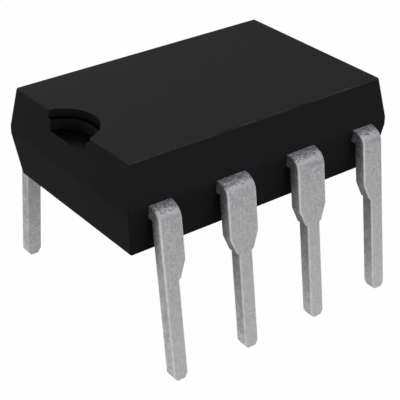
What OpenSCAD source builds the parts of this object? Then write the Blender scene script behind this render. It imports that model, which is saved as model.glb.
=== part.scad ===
// An eight-pin dual in-line integrated circuit: a moulded epoxy body with an index notch, two rows of
// four formed leads, and inside it the die on its pad with a bond wire to each lead.
// Millimetres. X runs along the body with the notch at -X, Z is up, and the lead tips stand on Z = 0.

/* [Body] */
// Width over the flat band at the parting line
body_w = 6.3; // [5.6:0.01:7.2]
// Distance from a corner lead's centre to the end of the body, at the flat band
end_margin = 0.865; // [0.7:0.005:1.2]
// Height of the body above the parting plane
top_h = 1.38; // [1.2:0.01:2]
// Height of the body below the parting plane
bottom_h = 1.46; // [0.8:0.01:2]
// Height of the flat band that the mould leaves at the parting line
band_h = 0.24; // [0.1:0.01:0.4]
// Draft of the two end faces above the band, in degrees
end_angle_top = 8.8; // [4:0.1:12]
// Draft of the two long sides above the band, in degrees
side_angle_top = 9.7; // [4:0.1:14]
// Draft of the two end faces below the band, in degrees
end_angle_bottom = 7.5; // [4:0.1:12]
// Draft of the two long sides below the band, in degrees
side_angle_bottom = 9.6; // [4:0.1:14]
// Rounding of the moulded edges
edge_r = 0.07; // [0.04:0.01:0.15]

/* [Index notch] */
// Radius of the notch where it opens in the top face
notch_r = 1.11; // [0.9:0.01:1.4]
// Radius of the deeper half of the notch
notch_step_r = 0.95; // [0.5:0.01:1.1]
// Distance of the notch's centre outside the flat band at the end
notch_out = 0.08; // [0:0.01:0.2]
// Depth of the ledge in the notch, under the top face
notch_ledge_depth = 0.24; // [0.1:0.01:0.3]
// Depth of the notch's floor, under the top face
notch_depth = 0.57; // [0.35:0.01:0.8]

/* [Ejector marks] */
// Radius of the two round ejector marks in the underside
ejector_r = 0.7; // [0.4:0.01:1]
// Depth of the ejector marks
ejector_depth = 0.06; // [0.03:0.01:0.12]
// Distance between the centres of the ejector marks
ejector_spacing = 4.8; // [3:0.1:5.6]

/* [Leads] */
// Distance between the centres of neighbouring leads
lead_pitch = 2.54; // [2.4:0.01:2.8]
// Thickness of the lead frame's strip
strip_t = 0.38; // [0.2:0.01:0.4]
// Width of the leg that goes into the board
leg_w = 0.48; // [0.36:0.01:0.6]
// Width of the shoulder between the body and the leg
shoulder_w = 1.01; // [0.8:0.01:1.4]
// Width of the shoulder at the end of its taper
taper_w = 0.63; // [0.61:0.01:0.78]
// Width of the flat at the lead's tip
tip_w = 0.26; // [0.1:0.01:0.34]
// Height of the parting plane above the lead tips
stand_h = 5.14; // [4.6:0.005:6]
// Height of the lead's upper face above the parting plane
strip_rise = 0.07; // [0:0.01:0.12]
// Drop from the parting plane to the start of the shoulder's taper
shoulder_drop = 1.53; // [1:0.01:1.8]
// Height of the shoulder's taper
taper_h = 0.49; // [0.3:0.01:0.7]
// Height of the step that trimming leaves between taper and leg
trim_h = 0.05; // [0.02:0.01:0.1]
// Height of the pointed end of the leg
tip_h = 0.16; // [0.1:0.005:0.3]
// Straight run of the lead from the body's side to its bend
lead_run = 0.085; // [0.06:0.005:0.4]
// Inside radius of the bend
bend_r = 0.05; // [0.03:0.01:0.2]
// Outward splay of the legs, in degrees
splay = 7; // [0:0.5:10]

/* [Lead fingers inside the body] */
// Clearance between the die pad and the lead fingers round it
pad_gap = 0.28; // [0.2:0.01:0.35]
// Width of a middle lead's finger
finger_w = 0.6; // [0.5:0.01:0.78]
// Length of the shoulder's full width inside the body
anchor_l = 0.9; // [0.8:0.01:1]
// Width of a corner lead's finger at its end beside the die pad
finger_end_w = 0.5; // [0.4:0.01:0.6]
// Radius of the hole in each middle lead that locks it in the moulding
lock_hole_r = 0.2; // [0.15:0.01:0.25]

/* [Die pad] */
// Length of the die pad
pad_l = 3.4; // [2.8:0.05:3.6]
// Width of the die pad
pad_w = 2.3; // [2:0.05:2.5]
// How far the die pad lies below the leads
pad_downset = 0.15; // [0.05:0.01:0.25]
// Width of the tie bar that holds the die pad to the far end of the body
tie_w = 0.5; // [0.3:0.01:0.6]
// Length of the tie bar's slope between the two levels
tie_slope_l = 0.4; // [0.3:0.01:0.6]

/* [Die] */
// Length of the silicon die
die_l = 1.8; // [1.4:0.05:2.4]
// Width of the silicon die
die_w = 1.4; // [1:0.05:1.8]
// Thickness of the silicon die
die_t = 0.28; // [0.15:0.01:0.4]
// Thickness of the adhesive under the die
attach_t = 0.03; // [0.02:0.01:0.06]
// How far the adhesive reaches past the die on each side
attach_rim = 0.06; // [0.02:0.01:0.12]

/* [Bond wires] */
// Diameter of the bond wires
wire_d = 0.05; // [0.03:0.005:0.06]
// Height of a wire's loop above the line between its two ends
loop_h = 0.32; // [0.25:0.01:0.45]
// Diameter of the ball that welds a wire to the die
ball_d = 0.12; // [0.1:0.01:0.16]
// Height of that ball
ball_h = 0.03; // [0.02:0.005:0.05]
// Distance of a wire's ball from the edge of the die
bond_inset = 0.16; // [0.1:0.01:0.25]
// Distance of a wire's other end from the end of its finger
stitch_inset = 0.15; // [0.1:0.01:0.2]

/* [Hidden] */

// Leads in a row
row_leads = 4;
// Centres of a middle and a corner lead, from the middle of the body
middle_x = lead_pitch / 2;
corner_x = middle_x + lead_pitch;
body_l = 2 * (corner_x + end_margin);
body_top = stand_h + top_h;
body_bottom = stand_h - bottom_h;
side_y = body_w / 2;
end_x = body_l / 2;

// Heights on a lead, from its upper face down to the leg
strip_top = stand_h + strip_rise;
strip_bottom = strip_top - strip_t;
shoulder_z = stand_h - shoulder_drop;
taper_z = shoulder_z - taper_h;
leg_z = taper_z - trim_h;
// The bend's outside radius and its centre, measured out from the middle of the body
bend_outer_r = bend_r + strip_t;
bend_y = side_y + lead_run;
bend_z = strip_top - bend_outer_r;

// The die pad and what is stacked on it
pad_top = strip_top - pad_downset;
attach_top = pad_top + attach_t;
die_top = attach_top + die_t;

// Where the fingers end round the die pad
finger_x = pad_l / 2 + pad_gap;
finger_y = pad_w / 2 + pad_gap;
finger_side_y = tie_w / 2 + pad_gap;

epoxy_colour = "#2c2c2d";
tin_colour = "#a3a3a6";
copper_colour = "#b8784e";
adhesive_colour = "#c9c9c4";
silicon_colour = "#4a4f5e";
gold_colour = "#d9a941";
ball_facets = 24;
wire_facets = 32;
arc_facets = 96;

// Repeats in the quadrant of the body that is toward side_x and side_y_sign what is drawn at +X, +Y
module quadrant(sign_x, sign_y) {
    mirror([sign_x < 0 ? 1 : 0, 0, 0])
        mirror([0, sign_y < 0 ? 1 : 0, 0])
            children();
}

// The body's block: rounded top and bottom faces, and between them the flat band of the parting line

// Size of a face that lies a height above or below the band, with its walls leaning in by the draft
function face_size(height, end_angle, side_angle) = [
    body_l - 2 * (height - band_h / 2) * tan(end_angle),
    body_w - 2 * (height - band_h / 2) * tan(side_angle)
];

// Centre of the ball that rounds the corner of a face, touching it and its two leaning walls
function corner_place(size, end_angle, side_angle) = [
    size[0] / 2 - edge_r * tan((90 - end_angle) / 2),
    size[1] / 2 - edge_r * tan((90 - side_angle) / 2)
];

module corner_ball() {
    sphere(edge_r / cos(180 / ball_facets), $fn = ball_facets);
}

module rounded_face(height, end_angle, side_angle, z) {
    place = corner_place(face_size(height, end_angle, side_angle), end_angle, side_angle);
    for (sx = [-1, 1], sy = [-1, 1])
        translate([sx * place[0], sy * place[1], z])
            corner_ball();
}

module band_corners() {
    for (sx = [-1, 1], sy = [-1, 1])
        translate([sx * (end_x - edge_r), sy * (side_y - edge_r), stand_h])
            cylinder(r = edge_r, h = band_h, center = true, $fn = ball_facets);
}

module block() {
    hull() {
        rounded_face(top_h, end_angle_top, side_angle_top, body_top - edge_r);
        band_corners();
        rounded_face(bottom_h, end_angle_bottom, side_angle_bottom, body_bottom + edge_r);
    }
}

// A half-round notch in two steps, open to the end face
module index_notch() {
    translate([-end_x - notch_out, 0, 0]) {
        translate([0, 0, body_top - notch_ledge_depth])
            cylinder(r = notch_r, h = top_h, $fn = arc_facets);
        translate([0, 0, body_top - notch_depth])
            cylinder(r = notch_step_r, h = top_h, $fn = arc_facets);
    }
}

module ejector_marks() {
    for (side = [-1, 1])
        translate([side * ejector_spacing / 2, 0, body_bottom - ejector_depth])
            cylinder(r = ejector_r, h = 2 * ejector_depth, $fn = arc_facets);
}

// A lead: a strip bent down outside the body, cut to the outline of shoulder and leg, with its finger

// All that lies under a bent face of the strip: flat out of the side, round the bend, down the leg
module under_face(radius, start_y, low_z) {
    leg_top = [bend_y, bend_z] + radius * [cos(splay), sin(splay)];
    translate([start_y, low_z])
        square([bend_y - start_y, bend_z + radius - low_z]);
    translate([bend_y, bend_z])
        circle(radius, $fn = arc_facets);
    polygon([
        [start_y, bend_z],
        [bend_y, bend_z],
        leg_top,
        leg_top + (leg_top[1] - low_z) * [tan(splay), -1],
        [start_y, low_z]
    ]);
}

// Section through the bent strip, seen along the body
module strip_section() {
    difference() {
        under_face(bend_outer_r, side_y - anchor_l, 0);
        under_face(bend_r, 0, -stand_h);
    }
}

// Edge of the lead's outline on one side, from the tip up to the top of the shoulder
function shouldered_edge(side) = [
    [side * tip_w / 2, 0],
    [side * leg_w / 2, tip_h],
    [side * leg_w / 2, leg_z],
    [side * taper_w / 2, taper_z],
    [side * shoulder_w / 2, shoulder_z],
    [side * shoulder_w / 2, body_top]
];

function straight_edge(side) = [
    [side * tip_w / 2, 0],
    [side * leg_w / 2, tip_h],
    [side * leg_w / 2, body_top]
];

function reversed(points) = [for (i = [len(points) - 1:-1:0]) points[i]];

// Outline seen from the side of the body. A corner lead has no shoulder on the side of the body's end.
module lead_outline(corner) {
    right = corner ? straight_edge(1) : shouldered_edge(1);
    polygon(concat(shouldered_edge(-1), reversed(right)));
}

module formed_strip(x, corner) {
    translate([x, 0, 0])
        intersection() {
            rotate([90, 0, 90])
                linear_extrude(shoulder_w + leg_w, center = true)
                    strip_section();
            rotate([90, 0, 0])
                linear_extrude(2 * (body_w + stand_h), center = true)
                    lead_outline(corner);
        }
}

// Finger of a middle lead: from the shoulder straight in to the long side of the die pad
module middle_finger() {
    translate([middle_x, 0])
        difference() {
            union() {
                translate([-shoulder_w / 2, side_y - anchor_l])
                    square([shoulder_w, anchor_l]);
                translate([-finger_w / 2, finger_y])
                    square([finger_w, side_y - anchor_l / 2 - finger_y]);
            }
            translate([0, side_y - anchor_l / 2])
                circle(lock_hole_r, $fn = arc_facets);
        }
}

// Finger of a corner lead: slants in from the shoulder to the short side of the die pad
module corner_finger() {
    polygon([
        [corner_x - shoulder_w / 2, side_y],
        [corner_x - shoulder_w / 2, side_y - anchor_l],
        [finger_x, finger_side_y + finger_end_w],
        [finger_x, finger_side_y],
        [corner_x + leg_w / 2, side_y - anchor_l],
        [corner_x + leg_w / 2, side_y]
    ]);
}

module middle_lead() {
    formed_strip(middle_x, false);
    translate([0, 0, strip_bottom])
        linear_extrude(strip_t)
            middle_finger();
}

module corner_lead() {
    formed_strip(corner_x, true);
    translate([0, 0, strip_bottom])
        linear_extrude(strip_t)
            corner_finger();
}

// Pins are counted as usual: 1 to 4 along the -Y side from the notch, 5 to 8 back along the +Y side
function row_sign(number) = number <= row_leads ? -1 : 1;
function place_in_row(number) = number <= row_leads ? number : 2 * row_leads + 1 - number;
function end_sign(number) = place_in_row(number) <= row_leads / 2 ? -1 : 1;
function is_corner(number) = place_in_row(number) == 1 || place_in_row(number) == row_leads;

module lead(number) {
    color(tin_colour)
        quadrant(end_sign(number), row_sign(number)) {
            if (is_corner(number))
                corner_lead();
            else
                middle_lead();
        }
}

// The die pad, stamped from the same strip and pressed down a little, with its one tie bar to the far
// end face, where the bar is trimmed flush
module die_pad() {
    color(copper_colour) {
        translate([-pad_l / 2, -pad_w / 2, pad_top - strip_t])
            cube([pad_l, pad_w, strip_t]);
        rotate([90, 0, 0])
            linear_extrude(tie_w, center = true)
                polygon([
                    [pad_l / 2 - strip_t, pad_top],
                    [pad_l / 2, pad_top],
                    [pad_l / 2 + tie_slope_l, strip_top],
                    [end_x, strip_top],
                    [end_x, strip_bottom],
                    [pad_l / 2 + tie_slope_l, strip_bottom],
                    [pad_l / 2, pad_top - strip_t],
                    [pad_l / 2 - strip_t, pad_top - strip_t]
                ]);
    }
}

module die_attach() {
    color(adhesive_colour)
        translate([-die_l / 2 - attach_rim, -die_w / 2 - attach_rim, pad_top])
            cube([die_l + 2 * attach_rim, die_w + 2 * attach_rim, attach_t]);
}

module die() {
    color(silicon_colour)
        translate([-die_l / 2, -die_w / 2, attach_top])
            cube([die_l, die_w, die_t]);
}

// A wire between two points in plan: a ball on the die, and a round loop from it down to the finger
module wire_loop(start, finish) {
    across = finish - start;
    span = norm(across);
    fall = die_top - strip_top;
    chord = norm([span, fall]);
    loop_r = loop_h / 2 + chord * chord / (8 * loop_h);
    // The loop's centre, in the upright plane through the wire, from the ball's place on the die
    chord_tilt = atan2(fall, span);
    centre_drop = loop_r - loop_h;
    centre = [
        span / 2 - centre_drop * sin(chord_tilt),
        -fall / 2 - centre_drop * cos(chord_tilt)
    ];
    half_turn = asin(chord / (2 * loop_r));
    past = asin(2 * wire_d / loop_r);
    translate([start[0], start[1], die_top])
        rotate([0, 0, atan2(across[1], across[0])]) {
            cylinder(d = ball_d, h = ball_h, $fn = wire_facets);
            difference() {
                translate([centre[0], 0, centre[1]])
                    rotate([90, 0, 0])
                        rotate([0, 0, 90 - chord_tilt - half_turn - past])
                            rotate_extrude(angle = 2 * (half_turn + past), $fn = arc_facets)
                                translate([loop_r, 0])
                                    circle(d = wire_d, $fn = wire_facets);
                // What would reach into the die, and into the finger
                translate([-span / 2, -wire_d, -2 * loop_r])
                    cube([span, 2 * wire_d, 2 * loop_r]);
                translate([0, -wire_d, -fall - 2 * loop_r])
                    cube([2 * span, 2 * wire_d, 2 * loop_r]);
            }
        }
}

module corner_wire() {
    wire_loop(
        [die_l / 2 - bond_inset, die_w / 2 - 2 * bond_inset],
        [finger_x + stitch_inset, finger_side_y + finger_end_w / 2]
    );
}

module middle_wire() {
    wire_loop(
        [die_l / 4, die_w / 2 - bond_inset],
        [middle_x, finger_y + stitch_inset]
    );
}

module bond_wire(number) {
    color(gold_colour)
        quadrant(end_sign(number), row_sign(number)) {
            if (is_corner(number))
                corner_wire();
            else
                middle_wire();
        }
}

// The moulding flows round everything that it holds
module body() {
    color(epoxy_colour)
        difference() {
            block();
            index_notch();
            ejector_marks();
            for (number = [1:2 * row_leads]) {
                lead(number);
                bond_wire(number);
            }
            die_pad();
            die_attach();
            die();
        }
}

body();
lead(1);  // lead_1
lead(2);  // lead_2
lead(3);  // lead_3
lead(4);  // lead_4
lead(5);  // lead_5
lead(6);  // lead_6
lead(7);  // lead_7
lead(8);  // lead_8
die_pad();
die_attach();
die();
bond_wire(1);  // bond_wire_1
bond_wire(2);  // bond_wire_2
bond_wire(3);  // bond_wire_3
bond_wire(4);  // bond_wire_4
bond_wire(5);  // bond_wire_5
bond_wire(6);  // bond_wire_6
bond_wire(7);  // bond_wire_7
bond_wire(8);  // bond_wire_8
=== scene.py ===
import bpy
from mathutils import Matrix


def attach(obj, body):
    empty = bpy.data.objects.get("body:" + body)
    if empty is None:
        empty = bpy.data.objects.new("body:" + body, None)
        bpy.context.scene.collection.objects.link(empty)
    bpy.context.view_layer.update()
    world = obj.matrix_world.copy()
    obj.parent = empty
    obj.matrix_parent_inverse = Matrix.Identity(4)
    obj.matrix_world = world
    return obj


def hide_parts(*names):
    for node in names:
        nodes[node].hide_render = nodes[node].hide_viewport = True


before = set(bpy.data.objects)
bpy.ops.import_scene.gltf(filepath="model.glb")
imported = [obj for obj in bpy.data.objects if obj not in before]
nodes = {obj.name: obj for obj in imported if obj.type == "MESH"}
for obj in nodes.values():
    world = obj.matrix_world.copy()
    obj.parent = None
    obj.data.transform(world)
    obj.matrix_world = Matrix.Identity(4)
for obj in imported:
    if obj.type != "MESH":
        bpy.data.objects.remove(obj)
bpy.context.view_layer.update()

import math

import bmesh
import bpy
from mathutils import Vector

MM = 0.001
scene = bpy.context.scene


# Sizes that the pieces take over from the CAD source, in millimetres

STAND_H = 5.14
BODY_TOP = 6.52
BODY_BOTTOM = 3.68
SIDE_Y = 3.15
END_X = 4.675
LEAD_PITCH = 2.54
STRIP_T = 0.38
LEG_W = 0.48
SHOULDER_W = 1.01
TAPER_W = 0.63
TIP_W = 0.26
STRIP_TOP = STAND_H + 0.07
SHOULDER_Z = STAND_H - 1.53
TAPER_Z = SHOULDER_Z - 0.49
LEG_Z = TAPER_Z - 0.05
TIP_H = 0.16
LEAD_RUN = 0.085
BEND_R = 0.05
OUTER_BEND_R = BEND_R + STRIP_T
SPLAY = math.radians(7)
BEND_Y = SIDE_Y + LEAD_RUN
BEND_Z = STRIP_TOP - BEND_R - STRIP_T
BEND_TURN = math.pi / 2 - SPLAY
BEND_STEPS = 14
ANCHOR_L = 0.9
FINGER_W = 0.6
FINGER_END_W = 0.5
FINGER_X = 1.98
FINGER_Y = 1.43
FINGER_SIDE_Y = 0.53
NOTCH_X = -END_X - 0.08
NOTCH_R = 1.11
NOTCH_LEDGE_Z = BODY_TOP - 0.24
NOTCH_FLOOR_Z = BODY_TOP - 0.57

# Sizes that the visual pieces alone have, in millimetres

OUTER_EDGE_R = 0.06
OUTER_STEPS = 6
INNER_EDGE_R = 0.03
INNER_STEPS = 2
FAR_TRIM = 0.05
LEAD_7_LEAN = 0.06


# Colours and materials

def linear(hex_colour):
    """The linear colour of an sRGB hex value."""
    channels = [int(hex_colour[i:i + 2], 16) / 255 for i in (1, 3, 5)]
    made = [c / 12.92 if c <= 0.04045 else ((c + 0.055) / 1.055) ** 2.4 for c in channels]
    return (*made, 1.0)


def add(tree, kind, settings=None, links=None):
    """Adds a node with its settings, and links its inputs to other nodes' outputs. The stops of a colour
    ramp are a setting too."""
    made = tree.nodes.new(kind)
    for name, value in (settings or {}).items():
        if name == "stops":
            elements = made.color_ramp.elements
            elements[0].position, elements[1].position = value[0][0], value[-1][0]
            for place, _ in value[1:-1]:
                elements.new(place)
            for element, (_, colour) in zip(elements, value):
                element.color = linear(colour)
        elif isinstance(name, str) and hasattr(made, name):
            setattr(made, name, value)
        else:
            made.inputs[name].default_value = value
    for name, output in (links or {}).items():
        tree.links.new(output, made.inputs[name])
    return made


def per_metre(size_mm):
    """The texture scale at which one feature measures size_mm."""
    return 1 / (size_mm * MM)


def start_material(name):
    material = bpy.data.materials.new(name)
    material.use_nodes = True
    material.node_tree.nodes.clear()
    return material, material.node_tree


def moulded_epoxy():
    """Silica-filled epoxy moulding compound, black, from a spark-eroded mould: matt, with a fine even
    grain and faint cloudiness where the filler flowed. The index notch comes from a pin with a mirror
    finish, so it is smoother; it is also painted near-black there as painted shade."""
    material, tree = start_material("moulded black epoxy")
    place = add(tree, "ShaderNodeTexCoord").outputs["Object"]
    cloud = add(tree, "ShaderNodeTexNoise", {"Scale": per_metre(0.7), "Detail": 3.0}, {"Vector": place})
    # The real grain of the mould is 0.02 mm, drawn at 0.05 mm so that it shows
    grain = add(tree, "ShaderNodeTexNoise", {"Scale": per_metre(0.05), "Detail": 4.0, "Roughness": 0.6},
                {"Vector": place})
    highlight_breakup = add(tree, "ShaderNodeTexNoise", {"Scale": per_metre(0.9), "Detail": 5.0, "Roughness": 0.7},
               {"Vector": place})
    mixed = add(tree, "ShaderNodeMath", {"operation": "MULTIPLY_ADD", 1: 0.35},
                {0: cloud.outputs["Fac"], 2: grain.outputs["Fac"]})
    colour = add(tree, "ShaderNodeValToRGB", {"stops": [(0.45, "#1c1c1c"), (0.95, "#212121")]},
                 {"Fac": mixed.outputs[0]}).outputs["Color"]
    rough = add(tree, "ShaderNodeMapRange", {"To Min": 0.42, "To Max": 0.6}, {"Value": grain.outputs["Fac"]})
    polished = add(tree, "ShaderNodeAttribute", {"attribute_name": "polished"}).outputs["Fac"]
    # Painted shade: the notch is painted near-black, fully on its ledge and floor and in part on its walls
    colour = add(tree, "ShaderNodeMix", {"data_type": "RGBA", 7: linear("#040404")}, {0: polished, 6: colour})
    # Painted highlight: the rounded edges are painted lighter, in broken patches
    worn = add(tree, "ShaderNodeAttribute", {"attribute_name": "worn"}).outputs["Fac"]
    patches = add(tree, "ShaderNodeMapRange", {"From Min": 0.36, "From Max": 0.6}, {"Value": highlight_breakup.outputs["Fac"]})
    worn = add(tree, "ShaderNodeMath", {"operation": "MULTIPLY"}, {0: worn, 1: patches.outputs[0]})
    colour = add(tree, "ShaderNodeMix", {"data_type": "RGBA", 7: linear("#333333")},
                 {0: worn.outputs[0], 6: colour.outputs[2]})
    rough = add(tree, "ShaderNodeMix", {"data_type": "FLOAT", 3: 0.3}, {0: polished, 2: rough.outputs[0]})
    depth = add(tree, "ShaderNodeMapRange", {"To Min": 0.5, "To Max": 0.05}, {"Value": polished})
    bump = add(tree, "ShaderNodeBump", {"Distance": 0.004 * MM},
               {"Height": grain.outputs["Fac"], "Strength": depth.outputs[0]})
    shader = add(tree, "ShaderNodeBsdfPrincipled", {"IOR": 1.5, "Specular IOR Level": 0.013},
                 {"Base Color": colour.outputs[2], "Roughness": rough.outputs[0], "Normal": bump.outputs[0]})
    add(tree, "ShaderNodeOutputMaterial", links={"Surface": shader.outputs[0]})
    return material


def matt_tin():
    """Matt tin plated on copper alloy strip: soft grey metal, smooth on the leg's faces with faint dents,
    rough and blotchy where the punch sheared it, bluish over the bend with a bright burnished band below
    it. Light is painted on it too: the leg's faces are painted lighter low down, the sheared sides carry
    painted shade toward the moulding and where they turn down, the bend is painted darker toward its top,
    and the rounded edges carry painted highlights."""
    material, tree = start_material("matt tin plating")
    inputs = add(tree, "ShaderNodeTexCoord")
    place = inputs.outputs["Object"]
    height = add(tree, "ShaderNodeSeparateXYZ", links={0: place}).outputs["Z"]
    upward = add(tree, "ShaderNodeSeparateXYZ", links={0: inputs.outputs["Normal"]}).outputs["Z"]
    # Crystals of the plating are a few micrometres, drawn at 0.07 mm so that they show
    crystals = add(tree, "ShaderNodeTexNoise", {"Scale": per_metre(0.07), "Detail": 3.0, "Roughness": 0.65},
                   {"Vector": place}).outputs["Fac"]
    mottle = add(tree, "ShaderNodeTexNoise", {"Scale": per_metre(0.22), "Detail": 4.0, "Roughness": 0.6},
                 {"Vector": place}).outputs["Fac"]
    along = add(tree, "ShaderNodeMapping", {"Scale": (1.0, 1.0, 0.2)}, {"Vector": place})
    drawn = add(tree, "ShaderNodeTexNoise", {"Scale": per_metre(0.06), "Detail": 3.0, "Roughness": 0.6},
                {"Vector": along.outputs[0]}).outputs["Fac"]
    faces = add(tree, "ShaderNodeMath", {"operation": "MULTIPLY_ADD", 1: 0.5}, {0: drawn, 2: crystals})
    # Painted light: the leg's faces are painted lighter low down and darker higher up
    faces = add(tree, "ShaderNodeMath", {"operation": "MULTIPLY_ADD", 1: -0.06 / MM}, {0: height, 2: faces.outputs[0]})
    face_colour = add(tree, "ShaderNodeValToRGB",
                      {"stops": [(0.3, "#a6a6a7"), (0.49, "#bdbdbe"), (0.85, "#d2d2d3")]},
                      {"Fac": faces.outputs[0]}).outputs["Color"]
    # The sheared sides are dull and blotchy, and carry painted shade: darker toward the moulding and lighter toward
    # the tip
    blotches = add(tree, "ShaderNodeMix", {"data_type": "FLOAT", 0: 0.3}, {2: crystals, 3: mottle}).outputs[0]
    painted_shade = add(tree, "ShaderNodeMath", {"operation": "MULTIPLY_ADD", 1: -0.065 / MM}, {0: height, 2: blotches})
    sheared_colour = add(tree, "ShaderNodeValToRGB",
                         {"stops": [(0.12, "#5c5c60"), (0.22, "#828286"), (0.38, "#a1a1a5"), (0.53, "#d4d4d7")]},
                         {"Fac": painted_shade.outputs[0]}).outputs["Color"]
    lead_edge_highlight_colour = add(tree, "ShaderNodeValToRGB", {"stops": [(0.35, "#dddde0"), (0.65, "#f0f0f2")]},
                        {"Fac": mottle}).outputs["Color"]
    sheared = add(tree, "ShaderNodeAttribute", {"attribute_name": "sheared"}).outputs["Fac"]
    rubbed = add(tree, "ShaderNodeAttribute", {"attribute_name": "rubbed"}).outputs["Fac"]
    # Up the bend the plating turns from burnished to finely cracked, along a ragged line, and is painted darker toward
    # the top of the bend as painted shade
    ragged = add(tree, "ShaderNodeMath", {"operation": "MULTIPLY_ADD", 1: 0.3 * MM}, {0: mottle, 2: height})
    ragged = add(tree, "ShaderNodeMath", {"operation": "MULTIPLY_ADD", 1: 0.12 * MM},
                 {0: crystals, 2: ragged.outputs[0]})
    formed = add(tree, "ShaderNodeMapRange", {"From Min": (BEND_Z + 0.25) * MM, "From Max": (BEND_Z + 0.6) * MM},
                 {"Value": ragged.outputs[0]}).outputs[0]
    crazing_and_shade = add(tree, "ShaderNodeMath", {"operation": "MULTIPLY_ADD", 1: -2.4}, {0: crystals, 2: formed})
    crazing_and_shade = add(tree, "ShaderNodeMath", {"operation": "ADD", 1: 1.15}, {0: crazing_and_shade.outputs[0]})
    formed_colour = add(tree, "ShaderNodeValToRGB",
                        {"stops": [(0.0, "#b4b4b7"), (0.3, "#a0a0a5"), (0.55, "#94949a"), (0.75, "#a8a8ad"), (1.1, "#74747a")]},
                        {"Fac": crazing_and_shade.outputs[0]}).outputs["Color"]
    bent = add(tree, "ShaderNodeMath", {"operation": "MULTIPLY", "use_clamp": True, 1: 3.0}, {0: formed}).outputs[0]
    colour = add(tree, "ShaderNodeMix", {"data_type": "RGBA"}, {0: bent, 6: face_colour, 7: formed_colour})
    colour = add(tree, "ShaderNodeMix", {"data_type": "RGBA"},
                 {0: sheared, 6: colour.outputs[2], 7: sheared_colour})
    unbent = add(tree, "ShaderNodeMath", {"operation": "SUBTRACT", 0: 1.0}, {1: formed})
    # Painted highlight along the rounded edges, left off over the bend
    bright = add(tree, "ShaderNodeMath", {"operation": "MULTIPLY"}, {0: rubbed, 1: unbent.outputs[0]})
    colour = add(tree, "ShaderNodeMix", {"data_type": "RGBA"},
                 {0: bright.outputs[0], 6: colour.outputs[2], 7: lead_edge_highlight_colour})
    # Painted shade: below the shoulders and at the tips, where the smoothed sides turn down, the sheared sides are
    # painted darker
    downward_shade = add(tree, "ShaderNodeMapRange", {"From Min": -0.25, "From Max": -0.5, "To Max": 0.4}, {"Value": upward})
    downward_shade = add(tree, "ShaderNodeMath", {"operation": "MULTIPLY"}, {0: downward_shade.outputs[0], 1: sheared})
    colour = add(tree, "ShaderNodeMix", {"data_type": "RGBA", 7: linear("#56565a")},
                 {0: downward_shade.outputs[0], 6: colour.outputs[2]})
    grainy = add(tree, "ShaderNodeMath", {"operation": "MAXIMUM"}, {0: formed, 1: sheared})
    relief = add(tree, "ShaderNodeMix", {"data_type": "FLOAT"}, {0: grainy.outputs[0], 2: drawn, 3: crystals})
    rough = add(tree, "ShaderNodeMapRange", {"To Min": 0.42, "To Max": 0.75}, {"Value": grainy.outputs[0]})
    depth = add(tree, "ShaderNodeMapRange", {"To Min": 0.15, "To Max": 0.7}, {"Value": grainy.outputs[0]})
    bump = add(tree, "ShaderNodeBump", {"Distance": 0.01 * MM},
               {"Height": relief.outputs[0], "Strength": depth.outputs[0]})
    shader = add(tree, "ShaderNodeBsdfPrincipled", {"Metallic": 1.0},
                 {"Base Color": colour.outputs[2], "Roughness": rough.outputs[0], "Normal": bump.outputs[0]})
    add(tree, "ShaderNodeOutputMaterial", links={"Surface": shader.outputs[0]})
    return material


def rolled_copper():
    """Bare copper alloy strip of the lead frame: rolled, with fine lines along the strip."""
    material, tree = start_material("rolled copper alloy")
    place = add(tree, "ShaderNodeTexCoord").outputs["Object"]
    stretched = add(tree, "ShaderNodeMapping", {"Scale": (0.08, 1.0, 1.0)}, {"Vector": place})
    lines = add(tree, "ShaderNodeTexNoise", {"Scale": per_metre(0.03), "Detail": 2.0},
                {"Vector": stretched.outputs[0]})
    colour = add(tree, "ShaderNodeValToRGB", {"stops": [(0.3, "#a8693f"), (0.7, "#c78a5c")]},
                 {"Fac": lines.outputs["Fac"]}).outputs["Color"]
    rough = add(tree, "ShaderNodeMapRange", {"To Min": 0.28, "To Max": 0.45}, {"Value": lines.outputs["Fac"]})
    bump = add(tree, "ShaderNodeBump", {"Strength": 0.3, "Distance": 0.002 * MM},
               {"Height": lines.outputs["Fac"]})
    shader = add(tree, "ShaderNodeBsdfPrincipled", {"Metallic": 1.0},
                 {"Base Color": colour, "Roughness": rough.outputs[0], "Normal": bump.outputs[0]})
    add(tree, "ShaderNodeOutputMaterial", links={"Surface": shader.outputs[0]})
    return material


def silver_adhesive():
    """Die adhesive: epoxy full of silver flakes, a light grey paste with a faint sparkle when cured."""
    material, tree = start_material("silver-filled adhesive")
    place = add(tree, "ShaderNodeTexCoord").outputs["Object"]
    flakes = add(tree, "ShaderNodeTexVoronoi", {"Scale": per_metre(0.02)}, {"Vector": place})
    colour = add(tree, "ShaderNodeValToRGB", {"stops": [(0.1, "#d4d4cf"), (0.7, "#adada8")]},
                 {"Fac": flakes.outputs["Distance"]}).outputs["Color"]
    bump = add(tree, "ShaderNodeBump", {"Strength": 0.4, "Distance": 0.002 * MM},
               {"Height": flakes.outputs["Distance"]})
    shader = add(tree, "ShaderNodeBsdfPrincipled", {"Metallic": 0.5, "Roughness": 0.5},
                 {"Base Color": colour, "Normal": bump.outputs[0]})
    add(tree, "ShaderNodeOutputMaterial", links={"Surface": shader.outputs[0]})
    return material


def patterned_silicon():
    """Silicon die under its glassy passivation: smooth and dark, with blocks of circuitry that differ a
    little in tint."""
    material, tree = start_material("patterned silicon")
    place = add(tree, "ShaderNodeTexCoord").outputs["Object"]
    blocks = add(tree, "ShaderNodeTexVoronoi", {"distance": "CHEBYCHEV", "Scale": per_metre(0.22)},
                 {"Vector": place})
    colour = add(tree, "ShaderNodeValToRGB", {"stops": [(0.15, "#59617a"), (0.55, "#3b4258")]},
                 {"Fac": blocks.outputs["Distance"]}).outputs["Color"]
    shader = add(tree, "ShaderNodeBsdfPrincipled", {"Metallic": 0.3, "Roughness": 0.18, "IOR": 1.9},
                 {"Base Color": colour})
    add(tree, "ShaderNodeOutputMaterial", links={"Surface": shader.outputs[0]})
    return material


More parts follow.
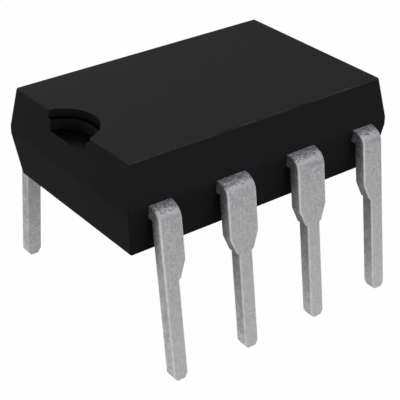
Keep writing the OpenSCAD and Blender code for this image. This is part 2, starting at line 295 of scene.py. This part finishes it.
def drawn_gold():
    """Gold bond wire, drawn through a die: bright, with faint lines along it."""
    material, tree = start_material("drawn gold wire")
    place = add(tree, "ShaderNodeTexCoord").outputs["Object"]
    lines = add(tree, "ShaderNodeTexNoise", {"Scale": per_metre(0.02), "Detail": 1.0}, {"Vector": place})
    colour = add(tree, "ShaderNodeValToRGB", {"stops": [(0.3, "#d8a63a"), (0.7, "#efc765")]},
                 {"Fac": lines.outputs["Fac"]}).outputs["Color"]
    shader = add(tree, "ShaderNodeBsdfPrincipled", {"Metallic": 1.0, "Roughness": 0.22}, {"Base Color": colour})
    add(tree, "ShaderNodeOutputMaterial", links={"Surface": shader.outputs[0]})
    return material


epoxy = moulded_epoxy()
tin = matt_tin()
finishes = {
    "die_pad": rolled_copper(),
    "die_attach": silver_adhesive(),
    "die": patterned_silicon(),
}
gold = drawn_gold()
for number in range(1, 9):
    finishes[f"bond_wire_{number}"] = gold
for name, material in finishes.items():
    nodes[name].data.materials.clear()
    nodes[name].data.materials.append(material)


# Finished pieces

def new_piece(name, mesh, material):
    mesh.materials.clear()
    mesh.materials.append(material)
    piece = bpy.data.objects.new(name, mesh)
    scene.collection.objects.link(piece)
    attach(piece, "root")
    return piece


def smooth_shaded(piece):
    """Smooth shading in which the large faces keep their own direction."""
    for face in piece.data.polygons:
        face.use_smooth = True
    even = piece.modifiers.new("flat faces", "WEIGHTED_NORMAL")
    even.weight = 100
    even.keep_sharp = True


def strip_stations(corner, trim):
    """Sections along the flat strip of the lead at +X, +Y, from its finger's end to its tip, before it is
    bent. Each is the share of the full edge rounding, then four points: upper face left and right, then
    lower face right and left. Once bent, the tip ends trim above the floor."""
    x = 1.5 * LEAD_PITCH if corner else 0.5 * LEAD_PITCH
    low = STRIP_TOP - STRIP_T

    def flat(rounding, left, right):
        return rounding, [(*left, STRIP_TOP), (*right, STRIP_TOP), (*right, low), (*left, low)]

    def in_leg(depth, z):
        """Where a point of the leg, at a depth below its outer face and a height above the floor, lies in
        the flat strip."""
        down = (BEND_Z + (OUTER_BEND_R - depth) * math.sin(SPLAY) - z) / math.cos(SPLAY)
        return BEND_Y + OUTER_BEND_R * BEND_TURN + down, STRIP_TOP - depth

    left, right = x - SHOULDER_W / 2, x + (LEG_W if corner else SHOULDER_W) / 2
    stations = []
    if corner:
        stations.append(flat(0.1, (FINGER_X, FINGER_SIDE_Y + FINGER_END_W), (FINGER_X, FINGER_SIDE_Y)))
    else:
        stations.append(flat(0.1, (x - FINGER_W / 2, FINGER_Y), (x + FINGER_W / 2, FINGER_Y)))
        inner_y = SIDE_Y - ANCHOR_L
        stations.append(flat(0.1, (x - FINGER_W / 2, inner_y), (x + FINGER_W / 2, inner_y)))
    stations.append(flat(0.1, *((end, SIDE_Y - ANCHOR_L + (0 if corner else 0.001)) for end in (left, right))))
    stations.append(flat(0.1, (left, SIDE_Y), (right, SIDE_Y)))
    stations.append(flat(0.5, (left, BEND_Y), (right, BEND_Y)))
    for step in range(1, BEND_STEPS + 1):
        y = BEND_Y + OUTER_BEND_R * BEND_TURN * step / BEND_STEPS
        stations.append(flat(min(1.0, 0.5 + 2 * step / BEND_STEPS), (left, y), (right, y)))

    # The tip's outer edge is rounded too, so its last sections step back from the outer face
    leg = [(1.0, SHOULDER_Z, SHOULDER_W, 0), (1.0, TAPER_Z, TAPER_W, 0), (1.0, LEG_Z, LEG_W, 0),
           (0.9, trim + TIP_H, LEG_W, 0)]
    for rounding, up, back in ((0.6, 0.05, 0), (0.4, 0.015, 0.015), (0.3, 0, 0.05)):
        leg.append((rounding, trim + up, TIP_W + (LEG_W - TIP_W) * up / TIP_H, back))
    for rounding, z, width, back in leg:
        left, right = x - width / 2, x + (LEG_W if corner and width > LEG_W else width) / 2
        outer, inner = in_leg(back, z), in_leg(STRIP_T, z)
        stations.append((rounding, [(left, *outer), (right, *outer), (right, *inner), (left, *inner)]))
    return stations


def rounded_section(rounding, corners):
    """A section's outline with its corners rounded: more on the outer face, where the punch drew the
    strip's edge in, than on the inner one."""
    corners = [Vector(corner) for corner in corners]
    outline = []
    for k, corner in enumerate(corners):
        radius, steps = (OUTER_EDGE_R, OUTER_STEPS) if k < 2 else (INNER_EDGE_R, INNER_STEPS)
        back = (corners[k - 1] - corner).normalized()
        ahead = (corners[(k + 1) % 4] - corner).normalized()
        for step in range(steps + 1):
            turn = math.pi / 2 * step / steps
            reach = back * (1 - math.sin(turn)) + ahead * (1 - math.cos(turn))
            outline.append(corner + reach * radius * rounding)
    return outline


def section_finishes(painted_shade):
    """The shares of painted edge highlight and of sheared side at each point of a section, in the order of
    its points. In the painted shade near the body, the inner edges get no painted highlight and are as dull
    as the sides."""
    outer = []
    for step in range(OUTER_STEPS + 1):
        share = step / OUTER_STEPS
        # The painted highlight peaks part-way round the outer rounding
        outer.append((min(0.3 + 1.4 * share, 3 * (1 - share), 1.0), 1 - share))
    inner = [(0.0, 1.0) if painted_shade else (0.3, 1.0), (0.0, 0.6) if painted_shade else (1.0, 0.6), (0.0, 0.3)]
    return outer + outer[::-1] + inner + inner[::-1]


def strip_mesh(corner, trim):
    """The stamped strip of a lead before it is bent, with its edges rounded and its finish marked for the
    tin's material."""
    shape = bmesh.new()
    rubbed = shape.verts.layers.float.new("rubbed")
    sheared = shape.verts.layers.float.new("sheared")
    # Sections short of the taper lie in the painted shade under the body
    painted_shade_to = BEND_Y + OUTER_BEND_R * BEND_TURN + BEND_Z - TAPER_Z
    rings = []
    for rounding, corners in strip_stations(corner, trim):
        ring = [shape.verts.new(point) for point in rounded_section(rounding, corners)]
        for vertex, finish in zip(ring, section_finishes(corners[0][1] < painted_shade_to)):
            vertex[rubbed], vertex[sheared] = finish
        rings.append(ring)
    count = len(rings[0])
    for one, two in zip(rings, rings[1:]):
        for k in range(count):
            shape.faces.new([one[k], one[(k + 1) % count], two[(k + 1) % count], two[k]])
    shape.faces.new(list(reversed(rings[0])))
    shape.faces.new(rings[-1])
    for vertex in shape.verts:
        vertex.co *= MM
    bmesh.ops.recalc_face_normals(shape, faces=shape.faces)
    mesh = bpy.data.meshes.new("flat_strip")
    shape.to_mesh(mesh)
    shape.free()
    return mesh


def forming_tool():
    """Bends the flat strip of a lead down over the tool's radius to its splay, then puts the lead at its
    own end and row of the part."""
    tree = bpy.data.node_groups.new("forming tool", "GeometryNodeTree")
    tree.interface.new_socket("Strip", in_out="INPUT", socket_type="NodeSocketGeometry")
    for name in ("Bend start", "Bend height", "Bend radius", "Bend turn", "Lean start", "Lean"):
        tree.interface.new_socket(name, in_out="INPUT", socket_type="NodeSocketFloat")
    tree.interface.new_socket("End and row", in_out="INPUT", socket_type="NodeSocketVector")
    tree.interface.new_socket("Mirrored", in_out="INPUT", socket_type="NodeSocketBool")
    tree.interface.new_socket("Lead", in_out="OUTPUT", socket_type="NodeSocketGeometry")
    given = add(tree, "NodeGroupInput").outputs
    place = add(tree, "GeometryNodeInputPosition").outputs[0]
    along = add(tree, "ShaderNodeSeparateXYZ", links={0: place}).outputs["Y"]
    past = add(tree, "ShaderNodeMath", {"operation": "SUBTRACT"}, {0: along, 1: given["Bend start"]})
    turn = add(tree, "ShaderNodeMath", {"operation": "DIVIDE"}, {0: past.outputs[0], 1: given["Bend radius"]})
    turn = add(tree, "ShaderNodeClamp", {"Min": 0.0}, {"Value": turn.outputs[0], "Max": given["Bend turn"]})
    # The length that the bend takes up is drawn back, and what lies past its start turns about its centre
    used = add(tree, "ShaderNodeMath", {"operation": "MULTIPLY"}, {0: turn.outputs[0], 1: given["Bend radius"]})
    used = add(tree, "ShaderNodeCombineXYZ", links={"Y": used.outputs[0]})
    drawn_back = add(tree, "ShaderNodeVectorMath", {"operation": "SUBTRACT"}, {0: place, 1: used.outputs[0]})
    centre = add(tree, "ShaderNodeCombineXYZ", links={"Y": given["Bend start"], "Z": given["Bend height"]})
    down = add(tree, "ShaderNodeMath", {"operation": "MULTIPLY", 1: -1.0}, {0: turn.outputs[0]})
    bent = add(tree, "ShaderNodeVectorRotate", {"rotation_type": "X_AXIS"},
               {"Vector": drawn_back.outputs[0], "Center": centre.outputs[0], "Angle": down.outputs[0]})
    placed = add(tree, "ShaderNodeVectorMath", {"operation": "MULTIPLY"},
                 {0: bent.outputs[0], 1: given["End and row"]})
    height = add(tree, "ShaderNodeSeparateXYZ", links={0: placed.outputs[0]}).outputs["Z"]
    leaning = add(tree, "ShaderNodeMapRange", {"From Max": 0.0},
                  {"Value": height, "From Min": given["Lean start"], "To Max": given["Lean"]})
    aside = add(tree, "ShaderNodeCombineXYZ", links={"X": leaning.outputs[0]})
    placed = add(tree, "ShaderNodeVectorMath", {"operation": "ADD"}, {0: placed.outputs[0], 1: aside.outputs[0]})
    formed = add(tree, "GeometryNodeSetPosition", links={"Geometry": given["Strip"], "Position": placed.outputs[0]})
    outward = add(tree, "GeometryNodeFlipFaces", links={"Mesh": formed.outputs[0], "Selection": given["Mirrored"]})
    real = add(tree, "GeometryNodeRealizeInstances", links={"Geometry": outward.outputs[0]})
    plated = add(tree, "GeometryNodeSetMaterial", {"Material": tin}, {"Geometry": real.outputs[0]})
    add(tree, "NodeGroupOutput", links={"Lead": plated.outputs[0]})
    return tree


def formed(name, strip, tree, values):
    """The plain mesh that the forming tool makes of a strip."""
    blank = bpy.data.objects.new(name, strip)
    scene.collection.objects.link(blank)
    tool = blank.modifiers.new("forming tool", "NODES")
    tool.node_group = tree
    for socket in tree.interface.items_tree:
        if socket.name in values:
            tool[socket.identifier] = values[socket.name]
    depsgraph = bpy.context.evaluated_depsgraph_get()
    mesh = bpy.data.meshes.new_from_object(blank.evaluated_get(depsgraph), preserve_all_data_layers=True,
                                           depsgraph=depsgraph)
    bpy.data.objects.remove(blank)
    return mesh


tool_tree = forming_tool()
for number in range(1, 9):
    place = number if number <= 4 else 9 - number
    end_sign = -1.0 if place <= 2 else 1.0
    row_sign = -1.0 if number <= 4 else 1.0
    strip = strip_mesh(place in (1, 4), 0 if number <= 4 else FAR_TRIM)
    mesh = formed(f"strip_{number}", strip, tool_tree, {
        "Bend start": BEND_Y * MM, "Bend height": BEND_Z * MM, "Bend radius": OUTER_BEND_R * MM,
        "Bend turn": BEND_TURN, "Lean start": SHOULDER_Z * MM, "Lean": LEAD_7_LEAN * MM if number == 7 else 0.0,
        "End and row": (end_sign, row_sign, 1.0), "Mirrored": end_sign * row_sign < 0})
    piece = new_piece(f"formed_lead_{number}", mesh, tin)
    smooth_shaded(piece)
    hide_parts(f"lead_{number}")


def in_notch(vertex, slack):
    """Whether a vertex lies on the index notch's walls, ledge or floor, give or take slack millimetres."""
    reach = math.hypot(vertex.co.x / MM - NOTCH_X, vertex.co.y / MM)
    return vertex.co.z / MM > NOTCH_FLOOR_Z - slack and reach < NOTCH_R + slack


def body_mesh():
    """The moulding: the CAD body with its flat faces whole, and the rims of the index notch rounded a
    little, as a mould rounded by long use leaves them. Its faces are marked for the painted shade in the
    notch and the painted highlight on the rounded edges."""
    shape = bmesh.new()
    shape.from_mesh(nodes["body"].data)
    bmesh.ops.remove_doubles(shape, verts=shape.verts, dist=0.0002 * MM)
    bmesh.ops.dissolve_limit(shape, angle_limit=math.radians(0.3), verts=shape.verts, edges=shape.edges)
    shape.normal_update()
    rims = []
    for edge in shape.edges:
        if len(edge.link_faces) == 2 and all(in_notch(vertex, 0.01) for vertex in edge.verts):
            if edge.calc_face_angle_signed() > math.radians(35):
                rims.append(edge)
    bmesh.ops.bevel(shape, geom=rims, offset=0.025 * MM, offset_type="OFFSET", segments=2, profile=0.5,
                    affect="EDGES", clamp_overlap=True)
    for edge in shape.edges:
        edge.smooth = len(edge.link_faces) != 2 or edge.calc_face_angle() < math.radians(50)
    polished = shape.faces.layers.float.new("polished")
    worn = shape.faces.layers.float.new("worn")
    shape.normal_update()
    main_normals = [face.normal.copy() for face in shape.faces if face.calc_area() > MM * MM]
    for face in shape.faces:
        if all(in_notch(vertex, 0.03) for vertex in face.verts):
            # Painted shade in the notch: full on its level ledge and floor, 0.4 on its walls
            face[polished] = 1.0 if face.normal.z > 0.7 else 0.4
        elif face.calc_center_median().z > (BODY_BOTTOM + 0.1) * MM:
            if max(face.normal.dot(normal) for normal in main_normals) < 0.95:
                # Painted highlight: full on the edges that face -Y and upward, half on the others
                face[worn] = 1.0 if face.normal.y < -0.3 and face.normal.z > 0.3 else 0.5
    mesh = bpy.data.meshes.new("moulded_body")
    shape.to_mesh(mesh)
    shape.free()
    return mesh


body_piece = new_piece("moulded_body", body_mesh(), epoxy)
smooth_shaded(body_piece)
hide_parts("body")


# Floor, light and camera

def seen_share(tree, shares):
    """How much of a ray sees plain white: the largest of the given shares among the kinds it is of."""
    path = add(tree, "ShaderNodeLightPath")
    seen = path.outputs["Is Transmission Ray"]
    for kind, share in shares.items():
        part = add(tree, "ShaderNodeMath", {"operation": "MULTIPLY", 1: share}, {0: path.outputs[kind]})
        seen = add(tree, "ShaderNodeMath", {"operation": "MAXIMUM"}, {0: seen, 1: part.outputs[0]}).outputs[0]
    return seen


def studio_floor():
    """Pale floor that the camera and the metal see as white, with the part's shadow kept."""
    material, tree = start_material("studio floor")
    seen = seen_share(tree, {"Is Camera Ray": 0.94, "Is Glossy Ray": 0.53})
    lit = add(tree, "ShaderNodeBsdfDiffuse", {"Color": linear("#8c8c8c")})
    white = add(tree, "ShaderNodeEmission", {"Color": (1, 1, 1, 1), "Strength": 1.04})
    mixed = add(tree, "ShaderNodeMixShader", links={0: seen, 1: lit.outputs[0], 2: white.outputs[0]})
    add(tree, "ShaderNodeOutputMaterial", links={"Surface": mixed.outputs[0]})
    return material


floor_mesh = bpy.data.meshes.new("floor")
reach = 1.5
floor_mesh.from_pydata([(-reach, -reach, 0), (reach, -reach, 0), (reach, reach, 0), (-reach, reach, 0)], [],
                       [(0, 1, 2, 3)])
floor_mesh.materials.append(studio_floor())
floor = bpy.data.objects.new("floor", floor_mesh)
scene.collection.objects.link(floor)

world = bpy.data.worlds.new("studio")
scene.world = world
world.use_nodes = True
world.node_tree.nodes.clear()
seen = seen_share(world.node_tree, {"Is Camera Ray": 1.0, "Is Glossy Ray": 0.25})
dim = add(world.node_tree, "ShaderNodeBackground", {"Color": (1, 1, 1, 1), "Strength": 0.18})
white = add(world.node_tree, "ShaderNodeBackground", {"Color": (1, 1, 1, 1), "Strength": 1.0})
mixed = add(world.node_tree, "ShaderNodeMixShader", links={0: seen, 1: dim.outputs[0], 2: white.outputs[0]})
add(world.node_tree, "ShaderNodeOutputWorld", links={"Surface": mixed.outputs[0]})


def softbox(name, azimuth, elevation, size, power):
    """A soft square lamp a third of a metre away, turned toward the part."""
    light = bpy.data.lights.new(name, "AREA")
    light.shape = "SQUARE"
    light.size = size
    light.energy = power
    lamp = bpy.data.objects.new(name, light)
    azimuth, elevation = math.radians(azimuth), math.radians(elevation)
    toward = Vector((math.cos(elevation) * math.cos(azimuth), math.cos(elevation) * math.sin(azimuth),
                     math.sin(elevation)))
    lamp.location = toward * 0.35 + Vector((0, 0, 4 * MM))
    lamp.rotation_euler = (-toward).to_track_quat("-Z", "Y").to_euler()
    scene.collection.objects.link(lamp)


softbox("back", 82, 42, 0.4, 0.78)
softbox("left back", 143, 15, 0.16, 0.5)
softbox("right front", 323, 40, 0.16, 0.25)
softbox("front", 272, 62, 0.16, 0.7)
softbox("low front", 278, 15, 0.16, 0.14)

camera_data = bpy.data.cameras.new("camera")
camera_data.sensor_fit = "HORIZONTAL"
camera_data.sensor_width = 36
camera_data.lens = 108.7465
camera_data.clip_start = 0.001
camera_data.clip_end = 10
camera = bpy.data.objects.new("camera", camera_data)
camera.location = (-19.5051 * MM, -25.9423 * MM, (16.2094 + STAND_H) * MM)
yaw, pitch = math.radians(53.0221), math.radians(-30.111)
forward = Vector((math.cos(pitch) * math.cos(yaw), math.cos(pitch) * math.sin(yaw), math.sin(pitch)))
camera.rotation_euler = forward.to_track_quat("-Z", "Y").to_euler()
scene.collection.objects.link(camera)
scene.camera = camera

scene.view_settings.view_transform = "Standard"
